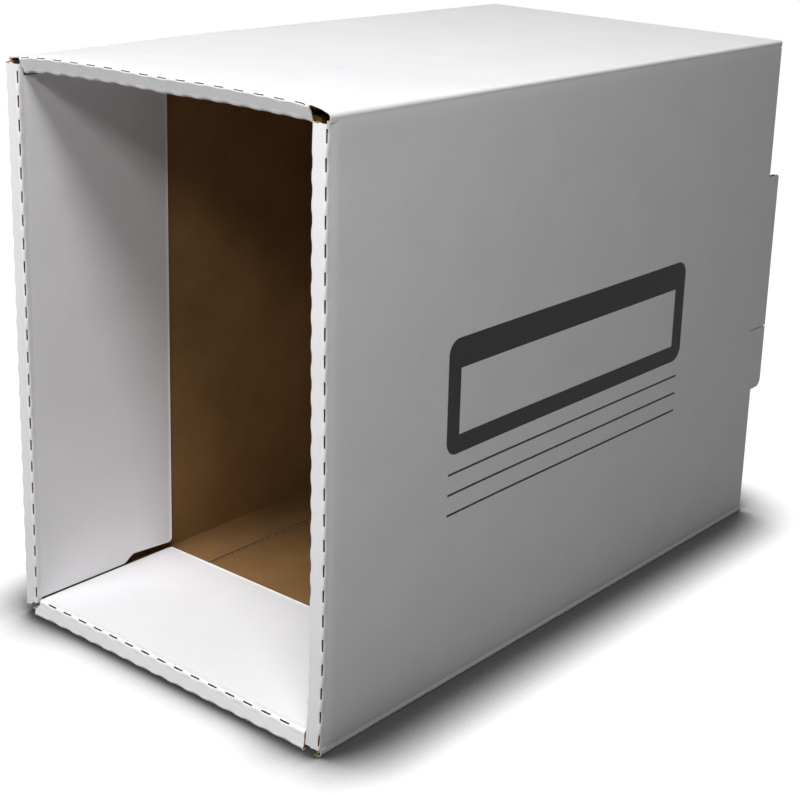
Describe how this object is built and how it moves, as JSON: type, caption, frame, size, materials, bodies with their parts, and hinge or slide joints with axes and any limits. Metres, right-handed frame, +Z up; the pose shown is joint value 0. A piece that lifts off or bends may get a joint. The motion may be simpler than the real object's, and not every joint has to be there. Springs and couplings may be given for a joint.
{
  "type": "comic book storage box shell",
  "caption": "Open-fronted corrugated shell that a short comic box slides into as a drawer, with perforated rolled-in rims and a tab-locked rear panel.",
  "frame": {"origin": "centre of the bounding box in X and Y, on the plane the underside rests on", "axes": "+Z up, -Y out of the open front, +X to the right seen from the front"},
  "size_m": [0.224, 0.4136, 0.311],
  "materials": {
    "white_board": "matte bleached white paper outside, brown inside",
    "white_roll": "matte bleached white paper on the face that shows",
    "kraft_board": "matte brown kraft paper"
  },
  "bodies": {
    "shell": {"bottom_wall": "white_board", "right_wall": "white_board", "top_wall": "white_board", "left_wall": "white_board", "glue_tab": "kraft_board"},
    "bottom_rim_body": {"bottom_rim": "white_roll"},
    "bottom_roll_body": {"bottom_roll_panel": "white_roll"},
    "right_rim_body": {"right_rim": "white_roll"},
    "right_roll_body": {"right_roll_panel": "white_roll"},
    "top_rim_body": {"top_rim": "white_roll"},
    "top_roll_body": {"top_roll_panel": "white_roll"},
    "left_rim_body": {"left_rim": "white_roll"},
    "left_roll_body": {"left_roll_panel": "white_roll"},
    "top_flap_body": {"top_rear_flap": "white_board"},
    "bottom_flap_body": {"bottom_rear_flap": "white_board"},
    "right_flap_body": {"right_rear_flap": "white_board"},
    "rear_panel_body": {"rear_panel": "white_board"},
    "lock_tab_body": {"rear_lock_tab": "white_board"}
  },
  "joints": [
    {"name": "bottom_rim_fold", "type": "hinge", "parent": "shell", "child": "bottom_rim_body", "pos_m": [0, -0.20675, 0], "axis": [1, 0, 0], "range_deg": [0, 100]},
    {"name": "bottom_roll_fold", "type": "hinge", "parent": "bottom_rim_body", "child": "bottom_roll_body", "pos_m": [0, -0.20501, 0.00985], "axis": [1, 0, 0], "range_deg": [0, 80]},
    {"name": "right_rim_fold", "type": "hinge", "parent": "shell", "child": "right_rim_body", "pos_m": [0.112, -0.20675, 0.1555], "axis": [0, 0, 1], "range_deg": [0, 90]},
    {"name": "right_roll_fold", "type": "hinge", "parent": "right_rim_body", "child": "right_roll_body", "pos_m": [0.102, -0.20675, 0.1555], "axis": [0, 0, 1], "range_deg": [0, 90]},
    {"name": "top_rim_fold", "type": "hinge", "parent": "shell", "child": "top_rim_body", "pos_m": [0, -0.20675, 0.311], "axis": [-1, 0, 0], "range_deg": [0, 114]},
    {"name": "top_roll_fold", "type": "hinge", "parent": "top_rim_body", "child": "top_roll_body", "pos_m": [0, -0.20268, 0.30186], "axis": [-1, 0, 0], "range_deg": [0, 66]},
    {"name": "left_rim_fold", "type": "hinge", "parent": "shell", "child": "left_rim_body", "pos_m": [-0.112, -0.20675, 0.1555], "axis": [0, 0, -1], "range_deg": [0, 90]},
    {"name": "left_roll_fold", "type": "hinge", "parent": "left_rim_body", "child": "left_roll_body", "pos_m": [-0.102, -0.20675, 0.1555], "axis": [0, 0, -1], "range_deg": [0, 90]},
    {"name": "top_flap_fold", "type": "hinge", "parent": "shell", "child": "top_flap_body", "pos_m": [0, 0.19425, 0.3077], "axis": [-1, 0, 0], "range_deg": [0, 80]},
    {"name": "bottom_flap_fold", "type": "hinge", "parent": "shell", "child": "bottom_flap_body", "pos_m": [0, 0.19425, 0.0033], "axis": [1, 0, 0], "range_deg": [0, 80]},
    {"name": "right_flap_fold", "type": "hinge", "parent": "shell", "child": "right_flap_body", "pos_m": [0.1087, 0.19425, 0.1555], "axis": [0, 0, 1], "range_deg": [0, 80]},
    {"name": "rear_panel_fold", "type": "hinge", "parent": "shell", "child": "rear_panel_body", "pos_m": [-0.112, 0.20055, 0.1555], "axis": [0, 0, 1], "range_deg": [0, 180]},
    {"name": "lock_tab_fold", "type": "hinge", "parent": "rear_panel_body", "child": "lock_tab_body", "pos_m": [0.1084, 0.20055, 0.1555], "axis": [0, 0, 1], "range_deg": [0, 90]}
  ],
  "couplings": [
    {"joint": "bottom_roll_fold", "follows": "bottom_rim_fold", "ratio": 0.8},
    {"joint": "right_roll_fold", "follows": "right_rim_fold", "ratio": 1},
    {"joint": "top_roll_fold", "follows": "top_rim_fold", "ratio": 0.57895},
    {"joint": "left_roll_fold", "follows": "left_rim_fold", "ratio": 1},
    {"joint": "lock_tab_fold", "follows": "rear_panel_fold", "ratio": 0.5}
  ]
}
